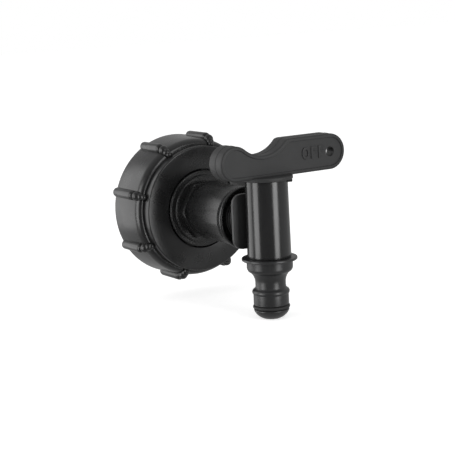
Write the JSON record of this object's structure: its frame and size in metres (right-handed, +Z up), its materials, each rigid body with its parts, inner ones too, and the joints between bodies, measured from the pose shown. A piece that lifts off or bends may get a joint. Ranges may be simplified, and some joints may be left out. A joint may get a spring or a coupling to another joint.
{
  "type": "ibc tank valve",
  "caption": "Plastic tap for a bulk liquid container: ribbed swivel nut, threaded tailpiece and quarter-turn lever tap with a hose nozzle pointing down",
  "frame": {"origin": "centre of the gasket's sealing face on the pipe axis", "axes": "+Y along the pipe towards the container, +Z up, +X the way the lever points when the tap is shut"},
  "size_m": [0.0754, 0.0919, 0.0796],
  "materials": {
    "nut_plastic": "fine satin moulding",
    "tail_plastic": "satin moulding",
    "tap_plastic": "polished moulding",
    "lever_plastic": "eroded matte moulding",
    "seal_rubber": "smooth rubber"
  },
  "bodies": {
    "tap": {"tailpiece": "tail_plastic", "tank_gasket": "seal_rubber", "tap_washer": "seal_rubber", "tap_body": "tap_plastic"},
    "nut": {"swivel_nut": "nut_plastic"},
    "lever": {"lever_handle": "lever_plastic", "outlet_plug": "lever_plastic", "plug_oring_upper": "seal_rubber", "plug_oring_lower": "seal_rubber", "nozzle_oring": "seal_rubber", "port_seal": "seal_rubber"}
  },
  "joints": [
    {"name": "nut_swivel", "type": "hinge", "parent": "tap", "child": "nut", "pos_m": [0, 0, 0], "axis": [0, 1, 0], "continuous": true},
    {"name": "lever_turn", "type": "hinge", "parent": "tap", "child": "lever", "pos_m": [0, -0.0647, 0], "axis": [0, 0, 1], "range_deg": [-90, 0]}
  ]
}
